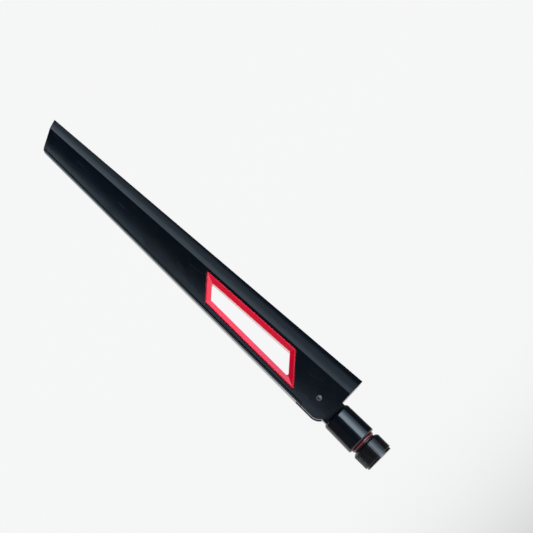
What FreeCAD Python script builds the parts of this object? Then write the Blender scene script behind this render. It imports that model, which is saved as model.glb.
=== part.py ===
import FreeCAD, Part
import math
import os
import re
import Sketcher

# Blade antenna on a tilt-and-swivel screw connector, in millimetres.
# +Z runs up the antenna from the mouth of the coupling nut, -Y is the face with the window,
# and the blade tips over towards -X.

DIMENSIONS = {
    # blade, front outline
    "blade_base": 28.1,
    "blade_tip": 201.0,
    "left_edge": 7.9,
    "base_edge": 18.2,
    "tip_edge": 5.1,
    "base_crease": 10.4,
    "tip_crease": 1.0,
    "tip_left_z": 194.5,
    "tip_corner_round": 1.2,
    "ear_round": 5.5,
    # blade, cross-section
    "base_half": 6.3,
    "tip_half": 2.7,
    "base_drop": 4.8,
    "tip_drop_share": 0.685,
    "dish": 0.3,
    "wing_bow": 0.055,
    "rear_round": 0.8,
    "face_wall": 1.6,
    "side_wall": 1.5,
    "end_wall": 1.6,
    "seam_gap": 0.1,
    "rim_width": 0.65,
    "groove_width": 0.5,
    "lid_thickness": 1.5,
    "rim_end": 39.8,
    # window
    "window_margin": 2.8,
    "window_crease_gap": 1.3,
    "window_low": 47.0,
    "window_high": 99.3,
    "window_slope": 0.88,
    "window_gap": 0.4,
    "window_band": 2.25,
    "window_round": 0.7,
    "frame_flange": 1.0,
    "frame_tube": 0.9,
    "frame_depth": 2.9,
    "frame_sink": 0.9,
    "frame_proud": 0.12,
    "frame_seam": 1.0,
    # hinge
    "pivot_z": 36.4,
    "pin_radius": 1.25,
    "pin_play": 0.06,
    "pin_seat_play": 0.02,
    "pin_proud": 0.25,
    "slot_half": 3.5,
    "tongue_half": 3.2,
    "tongue_inset": 1.15,
    "tongue_play": 0.5,
    "washer_thickness": 0.26,
    "washer_radius": 3.4,
    # barrel
    "barrel_top": 26.95,
    "barrel_bottom": 10.85,
    "barrel_radius": 7.05,
    "barrel_draft": 0.3,
    "barrel_foot": 0.9,
    "barrel_shoulder": 1.3,
    "cavity_share": 0.752,
    "cavity_top": 20.5,
    "ring_height": 1.1,
    "ring_inset": 1.43,
    "ring_crown": 0.25,
    "retainer_top": 13.0,
    "retainer_bottom": 11.2,
    "stop_half_angle": 4.0,
    "stop_height": 2.2,
    # plug
    "ferrule_radius": 2.29,
    "ferrule_end": 2.75,
    "shank_radius": 2.6,
    "crimp_stem_top": 17.4,
    "insulator_radius": 2.05,
    "contact_radius": 0.64,
    "contact_bore": 0.47,
    "bush_radius": 3.32,
    "bush_play": 0.08,
    "bush_flange_gap": 0.9,
    "bush_flange_height": 1.0,
    "bush_gap": 0.3,
    "clip_radius": 3.1,
    "clip_thickness": 0.55,
    # nut
    "thread_radius": 2.83,
    "thread_length": 2.4,
    "nut_relief": 3.45,
    "nut_shoulder": 5.2,
    "nut_body": 5.55,
    "nut_lip_radius": 5.95,
    "grip_foot_radius": 6.5,
    "nut_lip": 1.15,
    "grip_radius": 7.05,
    "grip_top": 9.05,
    "grip_chamfer": 0.9,
    "rib_count": 48,
    "rib_depth": 0.3,
    # inner cable and board
    "coax_radius": 0.69,
    "coax_slot_play": 0.31,
    "coax_bottom": 15.6,
    "core_radius": 0.2,
    "board_half_width": 3.9,
    "board_centre": -1.2,
    "board_bottom": 112.0,
    "board_length_end": 182.0,
    "board_gap": 0.1,
    "board_thickness": 0.6,
    "trace_thickness": 0.06,
    "feed_z": 140.0,
    "foam_width": 5.0,
    "foam_length": 7.0,
    "foam_play": 0.05,
}

# sizes that follow from the ones above
TIED = {
    "tip_drop": "tip_drop_share * tip_half",
    "window_left": "left_edge - window_margin",
    "barrel_neck": "barrel_radius - barrel_draft",
    "tongue_round": "barrel_neck - tongue_inset",
    "slot_round": "tongue_round + tongue_play",
    "cavity_radius": "cavity_share * barrel_radius",
    "bush_flange": "cavity_radius - bush_flange_gap",
    "ring_radius": "barrel_radius - ring_inset",
    "taper": "( base_half - tip_half ) / ( blade_tip - blade_base )",
    "board_front": "coax_radius + trace_thickness + 0.03",
    "board_rear": "board_front + board_thickness",
    "board_end": "blade_base + ( base_half - face_wall - board_rear - board_gap ) / taper",
    "board_top": "min( board_length_end ; board_end )",
    "board_half": "min( board_half_width ; left_edge - side_wall + board_centre - 0.3 )",
    "arm_length": "min( 27 ; board_top - feed_z - 2 )",
}

doc = FreeCAD.newDocument("blade_antenna")
sheet = doc.addObject("Spreadsheet::Sheet", "Sizes")
for row, (alias, number) in enumerate(DIMENSIONS.items(), start=1):
    sheet.set("A%d" % row, alias)
    sheet.set("B%d" % row, str(number))
    sheet.setAlias("B%d" % row, alias)
doc.recompute()


def dim(text):
    """Turn words such as 'left_edge + 1' into an expression on the sheet."""
    return re.sub(r"\b[a-z]\w+\b", name_on_sheet, text)


def name_on_sheet(match):
    word = match.group(0)
    if word in TIED:
        return "( %s )" % dim(TIED[word])
    return "Sizes." + word if word in DIMENSIONS else word


def number(text):
    """The present value of an expression in millimetres."""
    return float(sheet.evalExpression(dim(text)))


# ---------------------------------------------------------------- sketch helpers


def new_body(name):
    body = doc.addObject("PartDesign::Body", name)
    body.Label = name
    return body


def new_sketch(body, plane, height="0", angle="0"):
    """A sketch on one of the body's own planes, lifted by height and tipped about its x."""
    sketch = body.newObject("Sketcher::SketchObject", body.Name + "_sketch")
    support = [f for f in body.Origin.OriginFeatures if f.Role == plane][0]
    sketch.AttachmentSupport = [(support, "")]
    sketch.MapMode = "FlatFace"
    tip = FreeCAD.Rotation(FreeCAD.Vector(1, 0, 0), 0.001)
    sketch.AttachmentOffset = FreeCAD.Placement(FreeCAD.Vector(0, 0, 0), tip)
    sketch.setExpression("AttachmentOffset.Base.z", dim(height))
    sketch.setExpression("AttachmentOffset.Rotation.Angle", dim(angle))
    return sketch


def bind(sketch, constraint, text):
    index = sketch.addConstraint(constraint)
    sketch.setExpression("Constraints[%d]" % index, dim(text))


def add_loop(sketch, corners):
    """A closed outline. Each corner is (x, y) or (x, y, bulge): the bulge is the height of
    the arc from this corner to the next, positive to the right of the way round."""
    first = sketch.GeometryCount
    places = [FreeCAD.Vector(number(c[0]), number(c[1]), 0) for c in corners]
    starts = []
    for i, corner in enumerate(corners):
        start = places[i]
        end = places[(i + 1) % len(corners)]
        bulge = number(corner[2]) if len(corner) == 3 else 0
        if bulge:
            sketch.addGeometry(arc_between(start, end, bulge))
        else:
            sketch.addGeometry(Part.LineSegment(start, end))
        # the sketcher keeps arcs anticlockwise, so one that runs the other way starts at its end
        starts.append(2 if bulge < 0 else 1)
    for i, corner in enumerate(corners):
        later = (i + 1) % len(corners)
        near = starts[i]
        sketch.addConstraint(
            Sketcher.Constraint("Coincident", first + i, 3 - near, first + later, starts[later])
        )
        for kind, text in (("DistanceX", corner[0]), ("DistanceY", corner[1])):
            bind(sketch, Sketcher.Constraint(kind, -1, 1, first + i, near, number(text)), text)
        if len(corner) == 3:
            after = corners[later]
            radius = bulge_radius(corner, after)
            bind(sketch, Sketcher.Constraint("Radius", first + i, number(radius)), radius)


def arc_between(start, end, bulge):
    """An anticlockwise arc of the given height on the right (or, if negative, the left)."""
    along = end - start
    radius = (along.Length**2 / 4 + bulge**2) / (2 * abs(bulge))
    side = FreeCAD.Vector(along.y, -along.x, 0).normalize()
    way = 1 if bulge > 0 else -1
    centre = (start + end) * 0.5 + side * (bulge - way * radius)
    begin, finish = (start, end) if bulge > 0 else (end, start)
    low = math.atan2(begin.y - centre.y, begin.x - centre.x)
    high = math.atan2(finish.y - centre.y, finish.x - centre.x)
    if high < low:
        high += 2 * math.pi
    return Part.ArcOfCircle(Part.Circle(centre, FreeCAD.Vector(0, 0, 1), radius), low, high)


def bulge_radius(corner, after):
    """The radius, as an expression, of an arc of known height between two corners."""
    wide = "( ( %s ) - ( %s ) )" % (after[0], corner[0])
    high = "( ( %s ) - ( %s ) )" % (after[1], corner[1])
    half_squared = "( %s ^ 2 + %s ^ 2 ) / 4" % (wide, high)
    return "( %s + ( %s ) ^ 2 ) / ( 2 * abs( %s ) )" % (half_squared, corner[2], corner[2])


def add_circle(sketch, radius, x="0", y="0"):
    place = FreeCAD.Vector(number(x), number(y), 0)
    up = FreeCAD.Vector(0, 0, 1)
    index = sketch.addGeometry(Part.Circle(place, up, number(radius)))
    bind(sketch, Sketcher.Constraint("Radius", index, number(radius)), radius)
    bind(sketch, Sketcher.Constraint("DistanceX", -1, 1, index, 3, place.x), x)
    bind(sketch, Sketcher.Constraint("DistanceY", -1, 1, index, 3, place.y), y)


def add_feature(body, kind, sketch, **settings):
    feature = body.newObject("PartDesign::" + kind, body.Name + "_" + kind.lower())
    feature.Profile = sketch
    for key, setting in settings.items():
        if isinstance(setting, str) and key in ("Length", "Length2", "Angle"):
            feature.setExpression(key, dim(setting))
        else:
            setattr(feature, key, setting)
    sketch.Visibility = False
    doc.recompute()
    return feature


def extrude(body, plane, corners, low, high, kind="Pad"):
    """Pad or pocket an outline between two heights above a plane."""
    sketch = new_sketch(body, plane, low if kind == "Pad" else high)
    add_loop(sketch, corners)
    return add_feature(body, kind, sketch, Length="( %s ) - ( %s )" % (high, low))


def disc(body, radius, low, high, kind="Pad", x="0", y="0", plane="XY_Plane"):
    sketch = new_sketch(body, plane, low if kind == "Pad" else high)
    add_circle(sketch, radius, x, y)
    return add_feature(body, kind, sketch, Length="( %s ) - ( %s )" % (high, low))


def turn(body, corners, kind="Revolution"):
    """Revolve an outline of (radius, height) about the connector axis."""
    sketch = new_sketch(body, "XZ_Plane")
    add_loop(sketch, corners)
    return add_feature(body, kind, sketch, ReferenceAxis=(sketch, ["V_Axis"]), Angle=360.0)


def loft(body, sections, kind="AdditiveLoft"):
    """A ruled loft through outlines given as (sketch, corners)."""
    for sketch, corners in sections:
        add_loop(sketch, corners)
    later = [sketch for sketch, corners in sections[1:]]
    return add_feature(body, kind, sections[0][0], Sections=later, Ruled=True)


def boolean(name, kind, base, tools):
    """Cut, join or intersect finished bodies into one named piece."""
    result = base
    for count, tool in enumerate(tools):
        last = count == len(tools) - 1
        step = doc.addObject("Part::" + kind, name if last else "%s_%d" % (name, count))
        step.Base = result
        step.Tool = tool
        result = step
    result.Label = name
    doc.recompute()
    return result


# ---------------------------------------------------------------- blade sections

CREASE_LEAN = "( ( base_crease - tip_crease ) / ( blade_tip - blade_base ) )"
EDGE_LEAN = "( ( base_edge - tip_edge ) / ( blade_tip - blade_base ) )"


def outer_section(end):
    """The blade's outer cross-section at its base or tip, seen from the tip."""
    half = end + "_half"
    edge = end + "_edge"
    crease = end + "_crease"
    drop = end + "_drop"
    return [
        ("- left_edge", "- " + half, "- dish"),
        (crease, "- " + half, "wing_bow * ( %s - %s )" % (edge, crease)),
        (edge, "%s - %s" % (drop, half)),
        (edge + " - 0.3", "0"),
        (edge + " - 1.8", half + " - 1.1", "0.3"),
        (edge + " - 2.9", half),
        ("rear_round - left_edge", half, "0.29 * rear_round"),
        ("- left_edge", half + " - rear_round"),
    ]


def inner_section(end):
    """The hollow inside the blade, one wall in from the outer section."""
    half = end + "_half"
    edge = end + "_edge"
    crease = end + "_crease"
    drop = end + "_drop"
    return [
        ("side_wall - left_edge", "face_wall - " + half),
        (crease + " - 0.3", "face_wall - " + half),
        (edge + " - side_wall", "%s - %s + 0.75" % (drop, half)),
        (edge + " - 0.3 - side_wall", "0"),
        (edge + " - 1.9 - side_wall", half + " - face_wall"),
        ("side_wall - left_edge", half + " - face_wall"),
    ]


def lid_section(end, edge_in, depth, seam):
    """The share of the cross-section that belongs to the front cover."""
    half = end + "_half"
    return [
        (edge_in, "- 2 * base_half"),
        ("2 * base_edge", "- 2 * base_half"),
        ("2 * base_edge", seam),
        ("side_wall - left_edge + 0.25", seam),
        ("side_wall - left_edge + 0.25", "%s - %s" % (depth, half)),
        (edge_in, "%s - %s" % (depth, half)),
    ]


def blade_loft(name, section, *extra):
    body = new_body(name)
    base = new_sketch(body, "XY_Plane", "blade_base")
    tip = new_sketch(body, "XY_Plane", "blade_tip")
    loft(body, [(base, section("base", *extra)), (tip, section("tip", *extra))])
    return body


def front_prism(name, corners, half_depth="2 * base_half"):
    """A prism along Y with an outline seen from the front, where x is X and y is Z."""
    body = new_body(name)
    extrude(body, "XZ_Plane", corners, "- ( %s )" % half_depth, half_depth)
    return body


TIP_RISE = "( ( blade_tip - tip_left_z ) / ( tip_edge + left_edge ) )"
TIP_CUT_LEFT = "tip_left_z - %s" % TIP_RISE
TIP_CUT_RIGHT = "blade_tip + 4 * %s" % TIP_RISE

blade_outline = front_prism(
    "blade_outline",
    [
        ("ear_round - left_edge", "blade_base", "-0.2929 * ear_round"),
        ("- left_edge", "blade_base + ear_round"),
        ("- left_edge", "tip_left_z - tip_corner_round", "-0.22 * tip_corner_round"),
        ("0.86 * tip_corner_round - left_edge", "tip_left_z + 0.5 * tip_corner_round"),
        ("tip_crease", "tip_left_z + %s * ( left_edge + tip_crease ) + 0.35" % TIP_RISE),
        ("tip_edge + 2", "blade_tip + 0.4"),
        ("2 * base_edge", "blade_tip + 0.4"),
        ("2 * base_edge", "blade_base + 1"),
        ("0.35 * base_edge", "blade_base"),
    ],
)
blade_outer = blade_loft("blade_outer", outer_section)
blade_solid = boolean("blade_solid", "Common", blade_outer, [blade_outline])

hollow_outline = front_prism(
    "hollow_outline",
    [
        ("slot_round + 1.3", "blade_base + end_wall"),
        ("slot_round + 1.3", "pivot_z + slot_round + 1.4"),
        ("- 2 * left_edge", "pivot_z + slot_round + 1.4"),
        ("- 2 * left_edge", "tip_left_z - end_wall - %s * left_edge" % TIP_RISE),
        ("tip_edge + 2", "blade_tip - end_wall - 0.3"),
        ("2 * base_edge", "blade_tip - end_wall - 0.3"),
        ("2 * base_edge", "blade_base + end_wall + 1"),
    ],
)
blade_inner = blade_loft("blade_inner", inner_section)
blade_hollow = boolean("blade_hollow", "Common", blade_inner, [hollow_outline])

# ---------------------------------------------------------------- hinge slot and cable way

hinge_slot = new_body("hinge_slot")
extrude(
    hinge_slot,
    "XZ_Plane",
    [
        ("- 2 * left_edge", "blade_base - 5"),
        ("slot_round", "blade_base - 5"),
        ("slot_round", "pivot_z", "0.2929 * slot_round"),
        ("0", "pivot_z + slot_round"),
        ("- 2 * left_edge", "pivot_z + slot_round"),
    ],
    "- slot_half",
    "slot_half",
)

COAX_SIDE = "( pin_radius + coax_radius + 0.75 )"
cable_way = new_body("cable_way")
disc(
    cable_way,
    "coax_radius + coax_slot_play",
    "pivot_z + slot_round - 2",
    "pivot_z + slot_round + 3",
    x=COAX_SIDE,
)

pin_hole = new_body("pin_hole")
disc(
    pin_hole,
    "pin_radius + pin_seat_play",
    "-2 * base_half",
    "2 * base_half",
    y="pivot_z",
    plane="XZ_Plane",
)

# a counterbore for the pin's clip in the rear ear
EAR_FACE = "( base_half - taper * ( pivot_z - blade_base ) )"
disc(
    pin_hole,
    "pin_radius + 0.95",
    "- 2 * base_half",
    "0.5 - %s" % EAR_FACE,
    y="pivot_z",
    plane="XZ_Plane",
)


# ---------------------------------------------------------------- window outline


def window_outline(out):
    """The window's four corners, moved outwards by `out` on every side."""
    steep = "sqrt( 1 + window_slope ^ 2 )"
    line = "( tip_crease + %s * blade_tip - window_crease_gap + %s )" % (CREASE_LEAN, out)
    left = "( - window_left - %s )" % out
    low = "( window_low - %s * %s )" % (steep, out)
    high = "( window_high + %s * %s )" % (steep, out)

    def right(start):
        lean = "( %s + window_slope * window_left )" % start
        return "( ( %s - %s * %s ) / ( 1 + %s * window_slope ) )" % (
            line,
            CREASE_LEAN,
            lean,
            CREASE_LEAN,
        )

    def rise(start, x):
        return "( %s + window_slope * ( %s + window_left ) )" % (start, x)

    return [
        (left, rise(low, left)),
        (right(low), rise(low, right(low))),
        (right(high), rise(high, right(high))),
        (left, rise(high, left)),
    ]


window_hole = front_prism("window_hole", window_outline("window_gap"))

# ---------------------------------------------------------------- covers

lid_area = blade_loft(
    "lid_area", lid_section, "rim_width + groove_width - left_edge", "lid_thickness", "0"
)
tray_relief = blade_loft(
    "tray_relief", lid_section, "rim_width - left_edge", "lid_thickness + 0.05", "seam_gap"
)


def below_rim(name, high, seam):
    """The front half of the hinge end, where the front ear takes the full width."""
    body = new_body(name)
    corners = [
        ("- 3 * base_edge", "- 3 * base_half"),
        ("3 * base_edge", "- 3 * base_half"),
        ("3 * base_edge", seam),
        ("- 3 * base_edge", seam),
    ]
    extrude(body, "XY_Plane", corners, "blade_base - 10", high)
    return body


lid_foot = below_rim("lid_foot", "rim_end", "0")
relief_foot = below_rim("relief_foot", "rim_end + 0.3", "seam_gap")
lid_share = boolean("lid_share", "Fuse", lid_area, [lid_foot])
relief_share = boolean("relief_share", "Fuse", tray_relief, [relief_foot])

blade_shell = boolean(
    "blade_shell", "Cut", blade_solid, [blade_hollow, hinge_slot, cable_way, pin_hole, window_hole]
)
front_cover = boolean("front_cover", "Common", blade_shell, [lid_share])
rear_cover = boolean("rear_cover", "Cut", blade_shell, [relief_share])

# ---------------------------------------------------------------- window frames


def softened(corners):
    """The window's outline with a small arc in place of each corner, sharp ones cut deeper."""
    soft = []
    for i, (x, z) in enumerate(corners):
        sharp = i % 2 == 0
        run = "window_round * %s" % ("2.2" if sharp else "0.5")
        height = "window_round * %s" % ("0.58" if sharp else "0.1")
        for near, (far_x, far_z) in ((False, corners[i - 1]), (True, corners[(i + 1) % 4])):
            along = "window_high - window_low" if (i % 2 == 1) == near else "1.9 * window_left"
            share = "( %s / ( %s ) )" % (run, along)
            place = (
                "%s + ( %s - %s ) * %s" % (x, far_x, x, share),
                "%s + ( %s - %s ) * %s" % (z, far_z, z, share),
            )
            soft.append(place if near else place + (height,))
    return soft


def window_frame(name, side):
    """Half of the red lining; side is -1 for the front half and 1 for the rear half."""
    body = new_body(name)
    face = "( %d * ( base_half + taper * blade_base ) )" % -side
    angle = "%d * atan( taper )" % side
    inward = side == -1
    seam = "( frame_seam * %d )" % -1

    def on_face(kind, out, shallow, deep):
        """Pad or pocket between two depths under the outer face."""
        sketch = new_sketch(body, "XZ_Plane", "%s + %d * ( %s )" % (face, side, shallow), angle)
        add_loop(sketch, window_outline(out))
        length = "( %s ) - ( %s )" % (deep, shallow)
        return add_feature(body, kind, sketch, Length=length, Reversed=inward)

    on_face("Pad", "0", "- frame_proud", "frame_depth")
    on_face("Pad", "frame_flange", "face_wall + 0.08", "frame_depth")
    # the lining's tube, from under the flange to the seam between the halves
    tube = "( frame_tube - window_band )"
    near = "%d * ( base_half - frame_depth - 0.6 )" % -side
    low, high = (seam, near) if side == -1 else (near, seam + " - 0.03")
    extrude(body, "XZ_Plane", window_outline(tube), low, high)
    rim = new_sketch(body, "XZ_Plane", "%s - %d * ( frame_proud + 0.01 )" % (face, side), angle)
    floor = new_sketch(body, "XZ_Plane", "%s + %d * frame_sink" % (face, side), angle)
    loft(
        body,
        [(rim, window_outline("-0.32")), (floor, window_outline("- window_band"))],
        "SubtractiveLoft",
    )
    hole = window_outline("- window_band")
    extrude(body, "XZ_Plane", softened(hole), "-2 * base_half", "2 * base_half", "Pocket")
    return body


window_frame_front = window_frame("window_frame_front", -1)
window_frame_rear = window_frame("window_frame_rear", 1)

# ---------------------------------------------------------------- hinge pin and washers


def turn_on_pivot(name, corners):
    """Revolve an outline about the hinge axis; corners are (y, distance from the axis)."""
    body = new_body(name)
    sketch = new_sketch(body, "YZ_Plane")
    sketch.setExpression("AttachmentOffset.Base.y", dim("pivot_z"))
    add_loop(sketch, corners)
    add_feature(body, "Revolution", sketch, ReferenceAxis=(sketch, ["H_Axis"]), Angle=360.0)
    return body


def pivot_ring(name, inner, outer, low, high):
    return turn_on_pivot(name, [(low, inner), (high, inner), (high, outer), (low, outer)])


hinge_pin = turn_on_pivot(
    "hinge_pin",
    [
        ("- %s - pin_proud" % EAR_FACE, "0"),
        (EAR_FACE, "0"),
        (EAR_FACE, "pin_radius"),
        ("- " + EAR_FACE, "pin_radius", "-0.1"),
    ],
)
pin_clip = pivot_ring(
    "pin_clip",
    "pin_radius + 0.01",
    "pin_radius + 0.65",
    EAR_FACE + " - 0.45",
    EAR_FACE + " - 0.1",
)


WASHER_LOW = "tongue_half + ( slot_half - tongue_half - washer_thickness ) * 0.8"
washer_front = pivot_ring(
    "hinge_washer_front",
    "pin_radius + pin_play",
    "washer_radius",
    "- ( %s + washer_thickness )" % WASHER_LOW,
    "- ( %s )" % WASHER_LOW,
)
washer_rear = pivot_ring(
    "hinge_washer_rear",
    "pin_radius + pin_play",
    "washer_radius",
    WASHER_LOW,
    WASHER_LOW + " + washer_thickness",
)

# ---------------------------------------------------------------- knuckle

knuckle = new_body("knuckle_body")
turn(
    knuckle,
    [
        ("0", "cavity_top"),
        ("cavity_radius", "cavity_top"),
        ("cavity_radius", "barrel_bottom"),
        ("barrel_radius - barrel_foot", "barrel_bottom", "0.2929 * barrel_foot"),
        ("barrel_radius", "barrel_bottom + barrel_foot"),
        ("barrel_neck", "barrel_top - barrel_shoulder", "0.2 * barrel_shoulder"),
        ("barrel_neck - barrel_shoulder", "barrel_top"),
        ("0", "barrel_top"),
    ],
)
extrude(
    knuckle,
    "XZ_Plane",
    [
        ("- tongue_round", "cavity_top + 2"),
        ("tongue_round", "cavity_top + 2"),
        ("tongue_round", "pivot_z", "0.2929 * tongue_round"),
        ("0", "pivot_z + tongue_round", "0.2929 * tongue_round"),
        ("- tongue_round", "pivot_z"),
    ],
    "- tongue_half",
    "tongue_half",
)
disc(
    knuckle,
    "pin_radius + pin_play",
    "-2 * tongue_half",
    "2 * tongue_half",
    "Pocket",
    y="pivot_z",
    plane="XZ_Plane",
)
CABLE_HALF = "( coax_radius + coax_slot_play )"
CABLE_RIGHT = "( %s + %s )" % (COAX_SIDE, CABLE_HALF)
extrude(
    knuckle,
    "XZ_Plane",
    [
        ("- 2 * tongue_round", "pivot_z - 3.6"),
        (COAX_SIDE + " - 1.6", "pivot_z - 3.6"),
        ("- 1.3", "cavity_top - 1"),
        ("1.6", "cavity_top - 1"),
        (CABLE_RIGHT, "pivot_z - 6.5"),
        (CABLE_RIGHT, "pivot_z + 2 * tongue_round"),
        ("- 2 * tongue_round", "pivot_z + 2 * tongue_round"),
    ],
    "- " + CABLE_HALF,
    CABLE_HALF,
    "Pocket",
)


def wedge(radius_in, radius_out, half_angle):
    """A short sector centred on +X."""
    wide = "%s * sin( %s )"
    long = "%s * cos( %s )"
    return [
        (long % (radius_in, half_angle), "- " + wide % (radius_in, half_angle)),
        (long % (radius_out, half_angle), "- " + wide % (radius_out, half_angle)),
        (long % (radius_out, half_angle), wide % (radius_out, half_angle)),
        (long % (radius_in, half_angle), wide % (radius_in, half_angle)),
    ]


STOP_IN = "( cavity_radius - 0.55 )"
STOP_OUT = "( cavity_radius + 0.2 )"
LUG_IN = "( bush_flange - 0.4 )"
LUG_OUT = "( cavity_radius - 0.35 )"
FLANGE_LOW = "retainer_top + bush_gap"
FLANGE_TOP = "( retainer_top + bush_gap + bush_flange_height )"
stop = wedge(STOP_IN, STOP_OUT, "stop_half_angle")
extrude(
    knuckle,
    "XY_Plane",
    [(x.replace("cos", "-cos"), y) for x, y in reversed(stop)],
    "retainer_top + 0.1",
    "retainer_top + 0.1 + stop_height",
)

accent_ring = new_body("accent_ring")
RING_LOW = "( barrel_bottom - ring_height )"
turn(
    accent_ring,
    [
        ("shank_radius + 1.1", RING_LOW),
        ("ring_radius", RING_LOW, "ring_crown"),
        ("ring_radius", "barrel_bottom"),
        ("shank_radius + 1.1", "barrel_bottom"),
    ],
)

retainer = new_body("barrel_retainer")
turn(
    retainer,
    [
        ("bush_radius + bush_play", "retainer_bottom"),
        ("cavity_radius - 0.02", "retainer_bottom"),
        ("cavity_radius - 0.02", "retainer_top"),
        ("bush_radius + bush_play", "retainer_top"),
    ],
)

# ---------------------------------------------------------------- plug

plug_body = new_body("plug_body")
turn(
    plug_body,
    [
        ("insulator_radius + 0.01", "ferrule_end"),
        ("ferrule_radius", "ferrule_end"),
        ("ferrule_radius", "nut_shoulder - 0.1 - clip_thickness"),
        ("shank_radius - 0.35", "nut_shoulder - 0.1 - clip_thickness"),
        ("shank_radius - 0.35", "nut_shoulder - 0.1"),
        ("shank_radius", "nut_shoulder - 0.1"),
        ("shank_radius", "14.9"),
        ("1.3", "14.9"),
        ("1.3", "crimp_stem_top"),
        ("coax_radius + 0.1", "crimp_stem_top"),
        ("coax_radius + 0.1", "9.6"),
        ("insulator_radius + 0.01", "9.6"),
    ],
)

insulator = new_body("plug_insulator")
turn(
    insulator,
    [
        ("contact_radius + 0.01", "ferrule_end + 0.05"),
        ("insulator_radius", "ferrule_end + 0.05"),
        ("insulator_radius", "9.5"),
        ("contact_radius + 0.01", "9.5"),
    ],
)

contact = new_body("centre_contact")
turn(
    contact,
    [
        ("contact_bore", "ferrule_end + 0.1"),
        ("contact_radius", "ferrule_end + 0.1"),
        ("contact_radius", "11.2"),
        ("0", "11.2"),
        ("0", "6.6"),
        ("contact_bore", "6.6"),
    ],
)

bush = new_body("swivel_bush")
turn(
    bush,
    [
        ("shank_radius + 0.01", RING_LOW),
        ("bush_radius", RING_LOW),
        ("bush_radius", FLANGE_LOW),
        ("bush_flange", FLANGE_LOW),
        ("bush_flange", FLANGE_TOP),
        ("shank_radius + 0.01", FLANGE_TOP),
    ],
)
lug = wedge(LUG_IN, LUG_OUT, "stop_half_angle - 0.5")
extrude(bush, "XY_Plane", lug, FLANGE_LOW, FLANGE_TOP)


def plug_ring(name, inner, outer, low, high):
    body = new_body(name)
    turn(body, [(inner, low), (outer, low), (outer, high), (inner, high)])
    return body


wave_washer = plug_ring(
    "friction_washer",
    "bush_radius + 0.05",
    "bush_flange",
    "retainer_top + 0.03",
    FLANGE_LOW + " - 0.03",
)
circlip = plug_ring(
    "swivel_circlip",
    "shank_radius + 0.01",
    "bush_flange - 0.5",
    FLANGE_TOP + " + 0.02",
    FLANGE_TOP + " + 0.5",
)
thrust_washer = plug_ring(
    "thrust_washer",
    "shank_radius + 0.02",
    "ring_radius - 0.25",
    "grip_top + 0.08",
    RING_LOW + " - 0.05",
)
crimp = plug_ring(
    "crimp_ferrule", "1.32", "1.75", "15.0", "crimp_stem_top - 0.1"
)
gasket = plug_ring(
    "plug_gasket",
    "ferrule_radius + 0.01",
    "clip_radius - 0.05",
    "nut_shoulder - 1.3",
    "nut_shoulder - 0.2 - clip_thickness",
)
retaining_clip = plug_ring(
    "nut_retaining_clip",
    "shank_radius - 0.34",
    "clip_radius",
    "nut_shoulder - 0.1 - clip_thickness + 0.02",
    "nut_shoulder - 0.12",
)
extrude(
    retaining_clip,
    "XY_Plane",
    [("0", "-0.7"), ("5", "-0.7"), ("5", "0.7"), ("0", "0.7")],
    "0",
    "10",
    "Pocket",
)

# ---------------------------------------------------------------- nut

nut = new_body("coupling_nut")
turn(
    nut,
    [
        ("thread_radius + 0.2", "0"),
        ("nut_lip_radius - 0.3", "0"),
        ("nut_lip_radius", "0.3"),
        ("nut_lip_radius", "nut_lip"),
        ("nut_body", "nut_lip"),
        ("nut_body", "grip_top - 0.6"),
        ("shank_radius + bush_play", "grip_top - 0.6"),
        ("shank_radius + bush_play", "nut_shoulder"),
        ("nut_relief", "nut_shoulder"),
        ("nut_relief", "thread_length + 0.4"),
        ("thread_radius", "thread_length + 0.2"),
        ("thread_radius", "0.2"),
    ],
)

grip = new_body("nut_grip")
turn(
    grip,
    [
        ("nut_body + 0.01", "nut_lip + 0.02"),
        ("nut_lip_radius + 0.01", "nut_lip + 0.02"),
        ("nut_lip_radius + 0.01", "0.12"),
        ("grip_foot_radius - 0.1", "0.12"),
        ("grip_foot_radius", "0.25"),
        ("grip_foot_radius", "nut_lip"),
        ("grip_radius - 0.15", "nut_lip"),
        ("grip_radius", "nut_lip + 0.15"),
        ("grip_radius", "grip_top - grip_chamfer"),
        ("grip_radius - grip_chamfer", "grip_top", "0.01"),
        ("shank_radius + 1.5", "grip_top"),
        ("shank_radius + 1.5", "grip_top - 0.5"),
        ("nut_body + 0.01", "grip_top - 0.5"),
    ],
)
groove = new_sketch(grip, "XY_Plane", "grip_top + 1")
add_loop(
    groove,
    [
        ("grip_radius + 0.4", "-0.42"),
        ("grip_radius + 0.4", "0.42"),
        ("grip_radius - rib_depth", "0.08"),
        ("grip_radius - rib_depth", "-0.08"),
    ],
)
rib = add_feature(grip, "Pocket", groove, Length="grip_top + 1 - nut_lip - 0.5")
ribs = grip.newObject("PartDesign::PolarPattern", "nut_grip_ribs")
ribs.Originals = [rib]
ribs.Axis = (groove, ["N_Axis"])
ribs.Angle = 360.0
ribs.setExpression("Occurrences", dim("rib_count"))
grip.Tip = ribs
doc.recompute()

# ---------------------------------------------------------------- inner cable

CREASE_AT = "( tip_crease + %s * ( blade_tip - %s ) )"
SIDE_LOW = "( pivot_z + slot_round + 15.5 )"
SIDE_HIGH = "( window_high + 6 )"
BESIDE = "%s + 2"

coax = new_body("coax_cable")
path = new_sketch(coax, "XZ_Plane")
BESIDE_LOW = "( %s + 2 )" % (CREASE_AT % (CREASE_LEAN, SIDE_LOW))
BESIDE_HIGH = "( %s + 2 )" % (CREASE_AT % (CREASE_LEAN, SIDE_HIGH))
ROUTE = [
    ("0", "coax_bottom", "0"),
    ("0", "crimp_stem_top + 1.5", "12"),
    (COAX_SIDE, "pivot_z - 6.5", "12"),
    (COAX_SIDE, "pivot_z + slot_round + 4.2", "12"),
    (BESIDE_LOW, SIDE_LOW, "18"),
    (BESIDE_HIGH, SIDE_HIGH, "18"),
    ("board_centre", "feed_z - 14", "18"),
    ("board_centre", "feed_z - 3", "0"),
]


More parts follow.
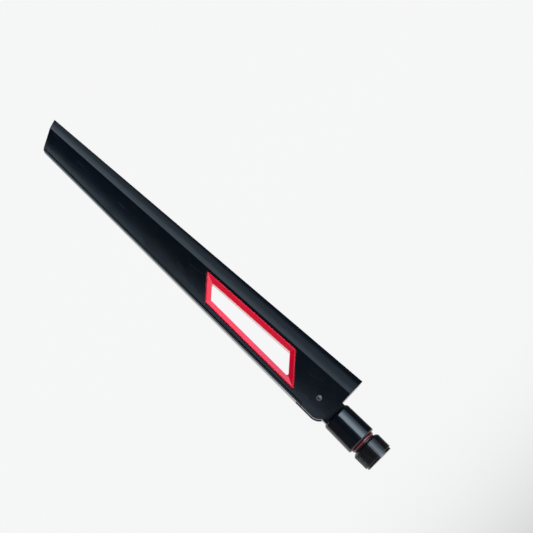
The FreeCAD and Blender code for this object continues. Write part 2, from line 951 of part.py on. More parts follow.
def add_route(sketch, corners):
    """Straight runs joined at each corner by an arc of the given radius that touches both."""
    places = [FreeCAD.Vector(number(c[0]), number(c[1]), 0) for c in corners]
    last = places[0]
    for i in range(1, len(places)):
        corner = places[i]
        radius = number(corners[i][2])
        if not radius:
            sketch.addGeometry(Part.LineSegment(last, corner))
            continue
        back = (places[i - 1] - corner).normalize()
        on = (places[i + 1] - corner).normalize()
        run = radius / math.tan(back.getAngle(on) / 2)
        start = corner + back * run
        end = corner + on * run
        turn_left = back.y * on.x - back.x * on.y
        height = radius * (1 - math.sin(back.getAngle(on) / 2))
        sketch.addGeometry(Part.LineSegment(last, start))
        sketch.addGeometry(arc_between(start, end, math.copysign(height, turn_left)))
        last = end
    for i in range(sketch.GeometryCount):
        sketch.addConstraint(Sketcher.Constraint("Block", i))


add_route(path, ROUTE)
round_section = new_sketch(coax, "XY_Plane", "coax_bottom")
add_circle(round_section, "coax_radius")
pipe = coax.newObject("PartDesign::AdditivePipe", "coax_pipe")
pipe.Profile = round_section
pipe.Spine = path
doc.recompute()
route_length = path.Shape.Length
tube_volume = math.pi * number("coax_radius") ** 2 * route_length
if abs(coax.Shape.Volume / tube_volume - 1) > 0.01:
    raise RuntimeError("the cable's tube is not whole: %.2f" % (coax.Shape.Volume / tube_volume))
print("inner cable length %.1f mm" % route_length)

# ---------------------------------------------------------------- board and radiators



def plate(name, outline, low, high):
    """A flat piece seen from the front; low and high are heights towards -Y."""
    body = new_body(name)
    extrude(body, "XZ_Plane", outline, low, high)
    return body


def box_outline(half, low, high, x="board_centre"):
    return [
        ("%s - ( %s )" % (x, half), low),
        ("%s + ( %s )" % (x, half), low),
        ("%s + ( %s )" % (x, half), high),
        ("%s - ( %s )" % (x, half), high),
    ]


board = plate(
    "antenna_board",
    box_outline("board_half", "board_bottom", "board_top"),
    "- board_rear",
    "- board_front",
)


def radiator(name, sign):
    """One half of the dual-band dipole: a long stem with two shorter arms beside it."""
    start = "feed_z + %d * 0.8" % sign
    bar = "feed_z + %d * 4" % sign
    short = "feed_z + %d * 17" % sign
    long = "feed_z + %d * arm_length" % sign
    left = "board_centre - ( %s )"
    right = "board_centre + ( %s )"
    outline = [
        (left % "1", start),
        (right % "1", start),
        (right % "1", "feed_z + %d * 2.4" % sign),
        (right % "board_half - 0.5", "feed_z + %d * 2.4" % sign),
        (right % "board_half - 0.5", short),
        (right % "2", short),
        (right % "2", bar),
        (right % "1.1", bar),
        (right % "1.1", long),
        (left % "1.1", long),
        (left % "1.1", bar),
        (left % "2", bar),
        (left % "2", short),
        (left % "board_half - 0.5", short),
        (left % "board_half - 0.5", "feed_z + %d * 2.4" % sign),
        (left % "1", "feed_z + %d * 2.4" % sign),
    ]
    if sign < 0:
        outline.reverse()
    return plate(name, outline, "0.005 - board_front", "trace_thickness - board_front")


radiator_upper = radiator("radiator_upper", 1)
radiator_lower = radiator("radiator_lower", -1)

shield_end = new_body("coax_shield_end")
disc(shield_end, "coax_radius - 0.14", "feed_z - 2.95", "feed_z - 1.6", x="board_centre")
core_end = new_body("coax_core_end")
disc(core_end, "core_radius", "feed_z - 1.55", "feed_z + 2", x="board_centre")


def solder_blob(name, low, high, half, thickness, wire):
    """Solder on a copper land, moulded round the wire that lies in it."""
    body = new_body(name)
    land = "trace_thickness + 0.01 - board_front"
    extrude(body, "XZ_Plane", box_outline(half, low, high), land, thickness)
    disc(body, wire + " + 0.01", "0", "blade_tip", "Pocket", x="board_centre")
    return body


solder_core = solder_blob("solder_core", "feed_z + 0.95", "feed_z + 2.6", "0.7", "0.1", "core_radius")
solder_shield = solder_blob(
    "solder_shield", "feed_z - 2.8", "feed_z - 1.7", "1.1", "-0.05", "( coax_radius - 0.14 )"
)


def foam_pad(name, low):
    """A pad between the board and the inside of the rear cover."""
    body = new_body(name)
    base = new_sketch(body, "XY_Plane", low)
    tip = new_sketch(body, "XY_Plane", low + " + foam_length")

    def section(height):
        wall = "( base_half - taper * ( %s - blade_base ) - face_wall )" % height
        return [
            ("board_centre - foam_width / 2", "board_rear + foam_play"),
            ("board_centre + foam_width / 2", "board_rear + foam_play"),
            ("board_centre + foam_width / 2", wall + " - foam_play"),
            ("board_centre - foam_width / 2", wall + " - foam_play"),
        ]

    loft(body, [(base, section(low)), (tip, section("( %s + foam_length )" % low))])
    return body


foam_lower = foam_pad("foam_pad_lower", "board_bottom + 4")
foam_upper = foam_pad("foam_pad_upper", "board_top - 40")

doc.recompute()

PIECES = {
    "front_cover": front_cover,
    "rear_cover": rear_cover,
}
for piece in (
    window_frame_front,
    window_frame_rear,
    hinge_pin,
    pin_clip,
    washer_front,
    washer_rear,
    knuckle,
    accent_ring,
    retainer,
    plug_body,
    insulator,
    contact,
    bush,
    wave_washer,
    circlip,
    thrust_washer,
    crimp,
    gasket,
    retaining_clip,
    nut,
    grip,
    coax,
    board,
    radiator_upper,
    radiator_lower,
    shield_end,
    core_end,
    solder_core,
    solder_shield,
    foam_lower,
    foam_upper,
):
    PIECES[piece.Label] = piece

os.makedirs("parts", exist_ok=True)
for thing in doc.Objects:
    if "Invalid" in thing.State or "Error" in thing.State:
        raise RuntimeError("%s is %s" % (thing.Label, thing.State))
for name, piece in PIECES.items():
    if piece.Shape.isNull() or not piece.Shape.isValid():
        raise RuntimeError("%s has no valid shape" % name)
    if len(piece.Shape.Solids) != 1:
        raise RuntimeError("%s has %d solids" % (name, len(piece.Shape.Solids)))
    box = piece.Shape.BoundBox
    print(
        "%-22s %9.2f mm3  x %.2f %.2f  y %.2f %.2f  z %.2f %.2f"
        % (name, piece.Shape.Volume, box.XMin, box.XMax, box.YMin, box.YMax, box.ZMin, box.ZMax)
    )
    piece.Shape.exportStep("parts/%s.step" % name)
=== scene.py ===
"""Blade antenna with a tilt-and-swivel screw connector: finishes, soft edges and studio.

Everything is in metres in the part's own frame: +Z runs up the antenna from the mouth of the
coupling nut, -Y is the face with the window and +X is the sloping wing edge."""

import math

import bmesh
import bpy
from bpy.props import FloatProperty, FloatVectorProperty, PointerProperty
from mathutils import Matrix, Vector


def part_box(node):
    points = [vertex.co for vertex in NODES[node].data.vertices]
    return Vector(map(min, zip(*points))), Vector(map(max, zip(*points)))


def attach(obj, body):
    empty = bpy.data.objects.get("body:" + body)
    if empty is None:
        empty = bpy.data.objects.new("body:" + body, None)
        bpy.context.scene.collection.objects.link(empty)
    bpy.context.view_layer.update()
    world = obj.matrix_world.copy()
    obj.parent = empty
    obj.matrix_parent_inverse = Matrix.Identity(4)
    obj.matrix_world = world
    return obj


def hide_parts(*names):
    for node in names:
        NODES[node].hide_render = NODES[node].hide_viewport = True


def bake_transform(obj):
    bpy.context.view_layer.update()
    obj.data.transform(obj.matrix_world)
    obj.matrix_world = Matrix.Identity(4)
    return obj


bl_info = {
    "name": "Blade antenna",
    "version": (1, 0, 0),
    "blender": (4, 5, 0),
    "location": "View3D > Sidebar > Antenna",
    "description": "Finishes a blade antenna's moulded shells, hinge, plug and nut, and its studio",
    "category": "Object",
}

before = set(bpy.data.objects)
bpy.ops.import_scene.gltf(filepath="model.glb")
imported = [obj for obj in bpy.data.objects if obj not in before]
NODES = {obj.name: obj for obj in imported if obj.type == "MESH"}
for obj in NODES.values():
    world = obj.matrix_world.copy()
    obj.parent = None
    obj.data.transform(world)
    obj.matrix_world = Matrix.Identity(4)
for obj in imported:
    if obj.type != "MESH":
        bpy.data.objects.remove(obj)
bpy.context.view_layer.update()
MM = 0.001
SENSOR_WIDTH = 36.0
PAPER_SHIFT = 1.2

BLADE_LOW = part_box("front_cover")[0]
PIN_LOW, PIN_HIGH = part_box("hinge_pin")
PIVOT = (PIN_LOW + PIN_HIGH) / 2


# ------------------------------------------------------------------ shader tools


class Shade:
    """A socket that takes part in Python arithmetic: every sum adds its Math node."""

    def __init__(self, finish, socket):
        self.finish = finish
        self.socket = socket

    def math(self, operation, *others, clamp=False):
        values = dict(enumerate((self,) + others))
        return self.finish.node("Math", values, operation=operation, use_clamp=clamp)

    def __add__(self, other):
        return self.math("ADD", other)

    __radd__ = __add__

    def __mul__(self, other):
        return self.math("MULTIPLY", other)

    __rmul__ = __mul__

    def __sub__(self, other):
        return self.math("SUBTRACT", other)

    def __rsub__(self, other):
        return self.finish.node("Math", {0: other, 1: self}, operation="SUBTRACT")

    def __truediv__(self, other):
        return self.math("DIVIDE", other)

    def __pow__(self, other):
        return self.math("POWER", other)

    def step(self, low, high):
        """0 below low, 1 above high and a smooth rise between them."""
        values = {"Value": self, "From Min": low, "From Max": high}
        return self.finish.node("MapRange", values, interpolation_type="SMOOTHSTEP")


class Finish:
    """One material: a Principled shader and the procedural nodes behind it."""

    def __init__(self, name, **settings):
        self.material = bpy.data.materials.new(name)
        self.material.use_nodes = True
        self.tree = self.material.node_tree
        self.shader = self.tree.nodes["Principled BSDF"]
        for socket, value in settings.items():
            self.shader.inputs[socket.replace("_", " ")].default_value = value
        self.place = self.node("TexCoord", output="Object")

    def node(self, kind, values=None, output=0, stops=None, **settings):
        """Add a node, set its options, then feed its sockets with numbers or links."""
        node = self.tree.nodes.new("ShaderNode" + kind)
        for option, setting in settings.items():
            setattr(node, option, setting)
        if stops:
            while len(node.color_ramp.elements) < len(stops):
                node.color_ramp.elements.new(1.0)
            for element, (position, colour) in zip(node.color_ramp.elements, stops):
                element.position = position
                element.color = (*colour, 1.0)
        for socket, value in (values or {}).items():
            self.feed(node.inputs[socket], value)
        return Shade(self, node.outputs[output])

    def feed(self, socket, value):
        if isinstance(value, Shade):
            self.tree.links.new(value.socket, socket)
        elif isinstance(value, (tuple, list)) and len(value) == 3 and socket.type == "RGBA":
            socket.default_value = (*value, 1.0)
        else:
            socket.default_value = value

    def stretched(self, x, y, z):
        """The object's coordinates, scaled on each axis."""
        values = {0: self.place, 1: (x, y, z)}
        return self.node("VectorMath", values, operation="MULTIPLY")

    def noise(self, size, detail=3.0, roughness=0.5, place=None):
        """Noise whose blotches are about `size` metres across."""
        values = {
            "Vector": place or self.place,
            "Scale": 1.0 / size,
            "Detail": detail,
            "Roughness": roughness,
        }
        return self.node("TexNoise", values)

    def speckle(self, size, place=None):
        """A cell pattern, dark at the middle of each cell."""
        return self.node("TexVoronoi", {"Vector": place or self.place, "Scale": 1.0 / size})

    def mix(self, amount, first, second):
        """A blend of two colours."""
        node = self.tree.nodes.new("ShaderNodeMix")
        node.data_type = "RGBA"
        self.feed(node.inputs["Factor"], amount)
        self.feed(node.inputs["A"], first)
        self.feed(node.inputs["B"], second)
        return Shade(self, node.outputs["Result"])

    def axis(self, name):
        return self.node("SeparateXYZ", {0: self.place}, output=name)

    def bump(self, height, depth, under=None):
        values = {"Height": height, "Strength": 1.0, "Distance": depth}
        if under:
            values["Normal"] = under
        return self.node("Bump", values)

    def paint(self, **sockets):
        for socket, value in sockets.items():
            self.feed(self.shader.inputs[socket.replace("_", " ")], value)
        return self.material


# ------------------------------------------------------------------ finishes


def black_shell(name, colour, rough, grain, gloss):
    """Satin black moulding with fine spark-eroded grain, flow marks and handling wear."""
    f = Finish(name, IOR=1.5, Specular_IOR_Level=gloss)
    flow = f.noise(0.03, 3, 0.55, f.stretched(1.0, 1.0, 0.35))
    haze = f.noise(0.006, 4, 0.6)
    pits = f.noise(grain, 2, 0.6)
    rubs = f.noise(0.0016, 5, 0.65, f.stretched(1.0, 1.0, 0.16)).step(0.6, 0.74)
    tone = f.mix(flow.step(0.3, 0.7), colour, [c * 1.35 for c in colour])
    dusty = f.mix(rubs * 0.2, tone, [0.02 + c for c in colour])
    roughness = rough + 0.1 * (haze - 0.5) + 0.06 * (flow - 0.5) + 0.05 * rubs
    surface = f.bump(pits, 0.000004)
    return f.paint(Base_Color=dusty, Roughness=roughness, Normal=surface)


def red_gloss(name, colour):
    """Glossy see-into red moulding, with faint flow lines and dust."""
    f = Finish(name, IOR=1.6, Coat_Roughness=0.12, Subsurface_Weight=0.15)
    f.shader.inputs["Specular Tint"].default_value = (1.0, 0.75, 1.0, 1.0)
    f.shader.inputs["Subsurface Radius"].default_value = (1.0, 0.15, 0.12)
    f.shader.inputs["Subsurface Scale"].default_value = 0.0012
    flow = f.noise(0.012, 3, 0.5, f.stretched(1.0, 1.0, 0.3))
    dust = f.speckle(0.0009).step(0.12, 0.0) * f.noise(0.004, 2).step(0.55, 0.7)
    ripple = f.noise(0.0011, 2, 0.45)
    tone = f.mix(flow.step(0.3, 0.7), [c * 0.8 for c in colour], colour)
    tone = f.mix(dust * 0.25, tone, (0.75, 0.45, 0.45))
    roughness = 0.2 + 0.1 * flow + 0.15 * dust
    return f.paint(
        Base_Color=tone, Roughness=roughness, Coat_Weight=0.6, Normal=f.bump(ripple, 0.000006)
    )


def turned_metal(name, colour, rough, ring=0.00012):
    """Turned and plated metal: lathe rings across the axis, light scratches, dulled patches."""
    f = Finish(name, Metallic=1.0, IOR=1.8)
    rings = f.noise(ring, 2, 0.6, f.stretched(0.25, 0.25, 1.0))
    patches = f.noise(0.0022, 4, 0.6)
    scratches = f.noise(0.0006, 4, 0.7, f.stretched(1.0, 1.0, 0.2)).step(0.62, 0.7)
    tone = f.mix(patches.step(0.35, 0.7), colour, [c * 0.78 for c in colour])
    roughness = rough + 0.16 * (patches - 0.5) + 0.12 * rings + 0.1 * scratches
    return f.paint(Base_Color=tone, Roughness=roughness, Normal=f.bump(rings, 0.000006))


def soft_white(name, colour, rough, depth=0.00001):
    """Machined fluoropolymer or acetal: waxy, with tool marks and a little staining."""
    f = Finish(name, IOR=1.38, Subsurface_Weight=0.2)
    f.shader.inputs["Subsurface Scale"].default_value = 0.0008
    marks = f.noise(0.00015, 2, 0.6, f.stretched(0.4, 0.4, 1.0))
    stain = f.noise(0.002, 4, 0.6).step(0.45, 0.75)
    tone = f.mix(stain, colour, [c * 0.82 for c in colour])
    return f.paint(
        Base_Color=tone, Roughness=rough + 0.12 * (marks - 0.5), Normal=f.bump(marks, depth)
    )


def silicone(name, colour):
    f = Finish(name, IOR=1.42)
    bloom = f.noise(0.0009, 4, 0.6)
    tone = f.mix(bloom.step(0.4, 0.75), colour, [0.05 + c for c in colour])
    return f.paint(Base_Color=tone, Roughness=0.5 + 0.2 * bloom, Normal=f.bump(bloom, 0.00001))


def cable_jacket(name, colour):
    """Thin extruded jacket with the faint lay of the braid showing through."""
    f = Finish(name, IOR=1.4)
    x, z = f.axis("X"), f.axis("Z")
    weave = ((z + x) * 5200).math("SINE") * ((z - x) * 5200).math("SINE")
    scuff = f.noise(0.0012, 4, 0.6)
    tone = f.mix(scuff.step(0.4, 0.8), colour, [0.03 + c for c in colour])
    height = weave * 0.5 + scuff
    return f.paint(
        Base_Color=tone, Roughness=0.38 + 0.2 * scuff, Normal=f.bump(height, 0.00001)
    )


def circuit_board(name, colour):
    """Solder mask over glass cloth, whose square weave shows as a faint relief."""
    f = Finish(name, IOR=1.5, Coat_Roughness=0.12)
    x, z = f.axis("X"), f.axis("Z")
    cloth = (x * 9000).math("SINE") * (z * 9000).math("SINE")
    cloud = f.noise(0.004, 3, 0.5)
    tone = f.mix(cloth * 0.12 + cloud * 0.6, [c * 0.7 for c in colour], colour)
    return f.paint(
        Base_Color=tone, Roughness=0.32 + 0.12 * cloud, Coat_Weight=0.4,
        Normal=f.bump(cloth, 0.000008),
    )


def copper_foil(name, colour):
    f = Finish(name, Metallic=1.0)
    tarnish = f.noise(0.002, 5, 0.65)
    brushed = f.noise(0.0002, 2, 0.6, f.stretched(1.0, 1.0, 0.05))
    tone = f.mix(tarnish.step(0.45, 0.75), colour, (0.32, 0.16, 0.09))
    roughness = 0.28 + 0.25 * tarnish + 0.08 * brushed
    return f.paint(Base_Color=tone, Roughness=roughness, Normal=f.bump(brushed, 0.000005))


def tin_solder(name, colour):
    f = Finish(name, Metallic=1.0)
    frost = f.noise(0.00035, 4, 0.65)
    flux = f.noise(0.0012, 3, 0.5).step(0.6, 0.75)
    tone = f.mix(flux * 0.5, colour, (0.28, 0.2, 0.1))
    return f.paint(Base_Color=tone, Roughness=0.25 + 0.3 * frost, Normal=f.bump(frost, 0.00003))


def closed_foam(name, colour):
    f = Finish(name, IOR=1.3, Sheen_Weight=0.1)
    cells = f.speckle(0.0004)
    big = f.speckle(0.0009)
    tone = f.mix(cells, [c * 0.5 for c in colour], [c * 1.3 for c in colour])
    return f.paint(
        Base_Color=tone, Roughness=0.85 + 0.1 * cells, Normal=f.bump(cells + big, 0.0001)
    )


def studio_paper(name, colour, glow):
    """Pale seamless paper that gives off its own light, on the floor and behind the antenna.

    Its other walls are dark, so that the glossy barrel has little to mirror on its left."""
    f = Finish(name, IOR=1.2, Specular_IOR_Level=0.0, Emission_Strength=glow)
    fibre = f.noise(0.004, 4, 0.6)
    tone = f.mix(fibre, [c * 0.98 for c in colour], colour)
    floor = 1 - f.axis("Z").step(-0.2, -0.06)
    back = f.axis("Y").step(1.0, 1.25) * (1 - f.axis("X").step(0.5, 0.72))
    lit = f.mix(floor.math("MAXIMUM", back), (0.06, 0.06, 0.06), (1.0, 1.0, 1.0))
    return f.paint(Base_Color=tone, Roughness=0.9 + 0.05 * fibre, Emission_Color=lit)


# ------------------------------------------------------------------ shape tools


def dress(node, material, edge=0.0, segments=3, angle=28.0):
    """Give a CAD node its finish and, with a bevel, the small radius that a real edge has."""
    piece = NODES[node]
    piece.data.materials.clear()
    piece.data.materials.append(material)
    for face in piece.data.polygons:
        face.material_index = 0
    if edge:
        flat = piece.modifiers.new("flat faces", "DECIMATE")
        flat.decimate_type = "DISSOLVE"
        flat.angle_limit = math.radians(0.6)
        soft = piece.modifiers.new("soft edges", "BEVEL")
        soft.width = edge
        soft.segments = segments
        soft.limit_method = "ANGLE"
        soft.angle_limit = math.radians(angle)
        soft.harden_normals = True
    return piece


def add_piece(name, mesh, body, slot, material, *stands_for):
    """A new mesh piece that rides on a body and stands for CAD nodes; the slot argument is not
    used.
    """
    piece = bpy.data.objects.new(name, mesh)
    bpy.context.scene.collection.objects.link(piece)
    mesh.materials.clear()
    mesh.materials.append(material)
    if stands_for:
        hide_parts(*stands_for)
    if body:
        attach(piece, body)
    return piece


# ------------------------------------------------------------------ settings


class AntennaLook(bpy.types.PropertyGroup):
    shell_colour: FloatVectorProperty(
        name="Shell colour",
        description="Base colour of the black mouldings",
        subtype="COLOR",
        size=3,
        default=(0.0016, 0.0028, 0.005),
    )
    shell_roughness: FloatProperty(
        name="Shell roughness",
        description="How satin the black mouldings are",
        default=0.2,
        min=0.05,
        max=0.9,
    )
    red_colour: FloatVectorProperty(
        name="Red colour",
        description="Base colour of the window lining and the ring under the barrel",
        subtype="COLOR",
        size=3,
        default=(0.9, 0.003, 0.03),
    )
    shell_edge: FloatProperty(
        name="Shell edge radius",
        description="Radius of the moulded shells' edges",
        default=0.3 * MM,
        unit="LENGTH",
    )
    lining_edge: FloatProperty(
        name="Lining edge radius",
        description="Radius of the window lining's edges",
        default=0.12 * MM,
        unit="LENGTH",
    )


class StudioLook(bpy.types.PropertyGroup):
    distance: FloatProperty(
        name="Camera distance", description="From the point it looks at", default=1.5,
        unit="LENGTH",
    )
    picture_width: FloatProperty(
        name="Picture width", description="Width seen at the antenna", default=0.2260,
        unit="LENGTH",
    )
    from_below: FloatProperty(
        name="From below", description="How far below level the camera stands",
        default=math.radians(4.5), subtype="ANGLE",
    )
    from_left: FloatProperty(
        name="From left", description="How far to the left the camera stands",
        default=math.radians(5.5), subtype="ANGLE",
    )
    roll: FloatProperty(
        name="Roll", description="How far the antenna leans in the picture",
        default=math.radians(45.14), subtype="ANGLE",
    )
    aim_x: FloatProperty(name="Aim X", description="Centre of the picture", default=0.0238,
                         unit="LENGTH")
    aim_z: FloatProperty(name="Aim Z", description="Centre of the picture", default=0.0916,
                         unit="LENGTH")
    paper_glow: FloatProperty(
        name="Paper glow", description="Own brightness of the backdrop", default=0.89
    )


class AntennaOperator:
    bl_options = {"REGISTER", "UNDO"}

    def execute(self, context):
        self.make(context.scene.antenna_look)
        return {"FINISHED"}


# ------------------------------------------------------------------ pieces


class ANTENNA_OT_covers(AntennaOperator, bpy.types.Operator):
    """Finish the blade's two moulded halves"""

    bl_idname = "antenna.covers"
    bl_label = "Blade covers"

    def make(self, look):
        shell = black_shell(
            "moulded_black", tuple(look.shell_colour), look.shell_roughness, 0.00012, 0.22
        )
        for node in ("front_cover", "rear_cover"):
            dress(node, shell, look.shell_edge)


class ANTENNA_OT_window(AntennaOperator, bpy.types.Operator):
    """Finish the red lining of the window"""

    bl_idname = "antenna.window"
    bl_label = "Window lining"

    def make(self, look):
        red = red_gloss("moulded_red", tuple(look.red_colour))
        for node in ("window_frame_front", "window_frame_rear"):
            dress(node, red, look.lining_edge)
        # Painted shade: the ring takes the lining's red darkened to 0.16, standing in for the
        # shadow under the barrel.
        shaded_ring_red = red_gloss("ring_red_painted_shade", tuple(0.16 * c for c in look.red_colour))
        dress("accent_ring", shaded_ring_red)


class ANTENNA_OT_hinge(AntennaOperator, bpy.types.Operator):
    """Finish the hinge's pin, clip and washers"""

    bl_idname = "antenna.hinge"
    bl_label = "Hinge pin and washers"

    def make(self, look):
        steel = turned_metal("hinge_steel", (0.07, 0.07, 0.08), 0.3)
        dress("hinge_pin", steel)
        for node in ("pin_clip", "hinge_washer_front", "hinge_washer_rear"):
            dress(node, steel, 0.04 * MM, 2)


class ANTENNA_OT_knuckle(AntennaOperator, bpy.types.Operator):
    """Finish the barrel with its tongue and the retainer inside it"""

    bl_idname = "antenna.knuckle"
    bl_label = "Knuckle"

    def make(self, look):
        shell = black_shell(
            "barrel_black", tuple(look.shell_colour), look.shell_roughness - 0.04, 0.0001, 0.55
        )
        dress("knuckle_body", shell, 0.15 * MM)
        dress("barrel_retainer", shell, 0.1 * MM, 2)


class ANTENNA_OT_plug(AntennaOperator, bpy.types.Operator):
    """Finish the plug: its conductors, insulator, bush, washers and clips"""

    bl_idname = "antenna.plug"
    bl_label = "Plug"

    def make(self, look):
        nickel = turned_metal("plated_brass", (0.62, 0.6, 0.56), 0.24)
        steel = turned_metal("spring_steel", (0.6, 0.61, 0.63), 0.28)
        gold = turned_metal("gold_plate", (0.85, 0.6, 0.24), 0.22)
        dress("plug_body", nickel, 0.06 * MM, 2)
        dress("crimp_ferrule", nickel, 0.06 * MM, 2)
        dress("centre_contact", gold, 0.04 * MM, 2)
        for node in ("friction_washer", "swivel_circlip", "nut_retaining_clip"):
            dress(node, steel, 0.03 * MM, 2)
        dress("plug_insulator", soft_white("fluoropolymer", (0.86, 0.86, 0.83), 0.42), 0.06 * MM)
        acetal = soft_white("acetal", (0.012, 0.012, 0.013), 0.36)
        for node in ("swivel_bush", "thrust_washer"):
            dress(node, acetal, 0.08 * MM)
        dress("plug_gasket", silicone("silicone_seal", (0.3, 0.05, 0.03)), 0.08 * MM)


class ANTENNA_OT_nut(AntennaOperator, bpy.types.Operator):
    """Finish the coupling nut and its ribbed sleeve"""

    bl_idname = "antenna.nut"
    bl_label = "Coupling nut"

    def make(self, look):
        dress("coupling_nut", turned_metal("nut_plating", (0.66, 0.65, 0.62), 0.22), 0.08 * MM)
        grip = black_shell("sleeve_black", (0.003, 0.003, 0.0045), 0.2, 0.00009, 0.6)
        dress("nut_grip", grip, 0.17 * MM)


class ANTENNA_OT_cable(AntennaOperator, bpy.types.Operator):
    """Lay the inner cable, which bends across the hinge"""

    bl_idname = "antenna.cable"
    bl_label = "Inner cable"

    def make(self, look):
        low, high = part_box("coax_cable")
        radius = (high.y - low.y) / 2
        beside_pin = 2.69 * MM
        route = [
            (0.0, low.z),
            (0.0, 18.9 * MM),
            (beside_pin, PIVOT.z - 6.5 * MM),
            (beside_pin, PIVOT.z + 10.3 * MM),
            (high.x - radius + 0.1 * MM, 58.0 * MM),
            (8.2 * MM, 105.3 * MM),
            (-1.2 * MM, 126.0 * MM),
            (-1.2 * MM, high.z),
        ]
        line = bpy.data.curves.new("coax_line", "CURVE")
        line.dimensions = "3D"
        line.bevel_depth = radius
        line.bevel_resolution = 5
        line.resolution_u = 16
        line.use_fill_caps = True
        spline = line.splines.new("NURBS")
        spline.points.add(len(route) - 1)
        for point, (x, z) in zip(spline.points, route):
            point.co = (x, 0.0, z, 1.0)
        spline.order_u = 3
        spline.use_endpoint_u = True
        holder = bpy.data.objects.new("coax_holder", line)
        bpy.context.scene.collection.objects.link(holder)
        bpy.context.view_layer.update()
        evaluated = holder.evaluated_get(bpy.context.evaluated_depsgraph_get())
        mesh = bpy.data.meshes.new_from_object(evaluated)
        bpy.data.objects.remove(holder)
        mesh.shade_smooth()
        jacket = cable_jacket("cable_jacket", (0.03, 0.03, 0.034))
        piece = add_piece("inner_cable", mesh, None, "coax_jacket", jacket, "coax_cable")
        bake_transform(piece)


class ANTENNA_OT_board(AntennaOperator, bpy.types.Operator):
    """Finish the printed dipole, its solder joints and the pads behind it"""

    bl_idname = "antenna.board"
    bl_label = "Board"

    def make(self, look):
        dress("antenna_board", circuit_board("solder_mask", (0.01, 0.11, 0.05)), 0.05 * MM, 2)
        copper = copper_foil("copper_foil", (0.86, 0.5, 0.3))
        for node in ("radiator_upper", "radiator_lower", "coax_shield_end", "coax_core_end"):
            dress(node, copper)
        tin = tin_solder("tin_solder", (0.68, 0.69, 0.7))
        for node in ("solder_core", "solder_shield"):
            dress(node, tin, 0.15 * MM)
        foam = closed_foam("foam", (0.05, 0.05, 0.055))
        for node in ("foam_pad_lower", "foam_pad_upper"):
            dress(node, foam, 0.2 * MM)


# ------------------------------------------------------------------ studio


def soft_light(name, power, width, height, place, aim, colour=(1.0, 1.0, 1.0)):
    lamp = bpy.data.lights.new(name, "AREA")
    lamp.shape = "RECTANGLE"
    lamp.size = width
    lamp.size_y = height
    lamp.energy = power
    lamp.color = colour
    holder = bpy.data.objects.new(name, lamp)
    bpy.context.scene.collection.objects.link(holder)
    holder.location = place
    holder.rotation_euler = (Vector(aim) - Vector(place)).to_track_quat("-Z", "Y").to_euler()
    return holder


def around(aim, distance, to_right, upward):
    """A place seen from the antenna: degrees to the right of straight ahead, and upwards."""
    right, up = math.radians(to_right), math.radians(upward)
    way = Vector((math.sin(right) * math.cos(up), -math.cos(right) * math.cos(up), math.sin(up)))
    return Vector(aim) + way * distance


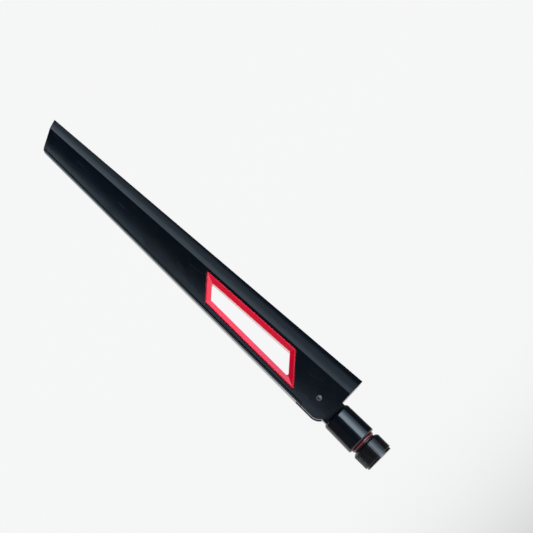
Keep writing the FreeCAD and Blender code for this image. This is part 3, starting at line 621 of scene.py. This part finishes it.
class ANTENNA_OT_studio(bpy.types.Operator):
    """Set up the pale floor, the soft lights and the camera"""

    bl_idname = "antenna.studio"
    bl_label = "Studio"
    bl_options = {"REGISTER", "UNDO"}

    def execute(self, context):
        look = context.scene.antenna_studio
        aim = Vector((look.aim_x, BLADE_LOW.y, look.aim_z))
        self.lay_paper(look)
        self.light(aim)
        self.set_camera(context, look, aim)
        context.scene.view_settings.view_transform = "Standard"
        return {"FINISHED"}

    def lay_paper(self, look):
        """A floor that curves up into a wall behind and a wall on the left."""
        floor, wall, bend, far = -0.26, 1.3, 0.5, 3.2
        profile = [(-far, 0.0), (wall - bend, 0.0)]
        for step in range(1, 25):
            angle = math.radians(90) * step / 24
            profile.append((wall - bend + bend * math.sin(angle), bend - bend * math.cos(angle)))
        profile.append((wall, far))
        mesh = bpy.data.meshes.new("studio_paper")
        sheet = bmesh.new()
        rows = []
        for x, x_rise in reversed(profile):
            row = []
            for y, y_rise in profile:
                row.append(sheet.verts.new((-x - PAPER_SHIFT, y, floor + max(x_rise, y_rise))))
            rows.append(row)
        for left, right in zip(rows, rows[1:]):
            for i in range(len(profile) - 1):
                sheet.faces.new((left[i], right[i], right[i + 1], left[i + 1]))
        sheet.to_mesh(mesh)
        sheet.free()
        mesh.shade_smooth()
        mesh.materials.append(studio_paper("studio_paper", (0.06, 0.06, 0.06), look.paper_glow))
        paper = bpy.data.objects.new("studio_paper", mesh)
        bpy.context.scene.collection.objects.link(paper)

    def light(self, aim):
        target = (0.004, 0.0, 0.1)
        cool = (0.68, 0.85, 1.0)
        softboxes = (("key", 8.8, 0.5, 25), ("middle", 2.7, 0.28, 47), ("side", 1.2, 0.34, 65))
        for name, power, width, to_right in softboxes:
            place = around(aim, 1.0, to_right, 6)
            soft_light(name + "_softbox", power, width, 0.9, place, target, cool)
        soft_light("foot_fill", 4.0, 0.8, 0.4, around(aim, 0.8, 10, -72), target)
        world = bpy.data.worlds.new("studio_air")
        world.use_nodes = True
        air = world.node_tree.nodes["Background"]
        air.inputs["Color"].default_value = (0.75, 0.85, 1.0, 1.0)
        air.inputs["Strength"].default_value = 0.02
        bpy.context.scene.world = world

    def set_camera(self, context, look, aim):
        lens = bpy.data.cameras.new("studio_camera")
        lens.sensor_width = SENSOR_WIDTH
        lens.lens = SENSOR_WIDTH * look.distance / look.picture_width
        lens.clip_start = 0.01
        lens.clip_end = 20.0
        camera = bpy.data.objects.new("studio_camera", lens)
        context.scene.collection.objects.link(camera)
        back = Vector((-math.tan(look.from_left), -1.0, -math.tan(look.from_below))).normalized()
        lean = Vector((math.sin(look.roll), 0.0, math.cos(look.roll)))
        right = lean.cross(back).normalized()
        up = back.cross(right)
        turned = Matrix((right, up, back)).transposed().to_4x4()
        turned.translation = aim + back * look.distance
        camera.matrix_world = turned
        context.scene.camera = camera


class ANTENNA_PT_sidebar(bpy.types.Panel):
    """Buttons for the antenna's pieces and its studio"""

    bl_idname = "ANTENNA_PT_sidebar"
    bl_label = "Blade antenna"
    bl_space_type = "VIEW_3D"
    bl_region_type = "UI"
    bl_category = "Antenna"

    def draw(self, context):
        column = self.layout.column()
        for settings in (context.scene.antenna_look, context.scene.antenna_studio):
            for name in settings.__annotations__:
                column.prop(settings, name)
        for operator in OPERATORS:
            column.operator(operator.bl_idname)


OPERATORS = (
    ANTENNA_OT_covers,
    ANTENNA_OT_window,
    ANTENNA_OT_hinge,
    ANTENNA_OT_knuckle,
    ANTENNA_OT_plug,
    ANTENNA_OT_nut,
    ANTENNA_OT_cable,
    ANTENNA_OT_board,
    ANTENNA_OT_studio,
)
CLASSES = (AntennaLook, StudioLook, *OPERATORS, ANTENNA_PT_sidebar)


def register():
    for cls in CLASSES:
        bpy.utils.register_class(cls)
    bpy.types.Scene.antenna_look = PointerProperty(type=AntennaLook)
    bpy.types.Scene.antenna_studio = PointerProperty(type=StudioLook)


def unregister():
    del bpy.types.Scene.antenna_studio
    del bpy.types.Scene.antenna_look
    for cls in reversed(CLASSES):
        bpy.utils.unregister_class(cls)


def main():
    register()
    for operator in OPERATORS:
        getattr(bpy.ops.antenna, operator.bl_idname.split(".")[1])()


if __name__ == "__main__":
    main()
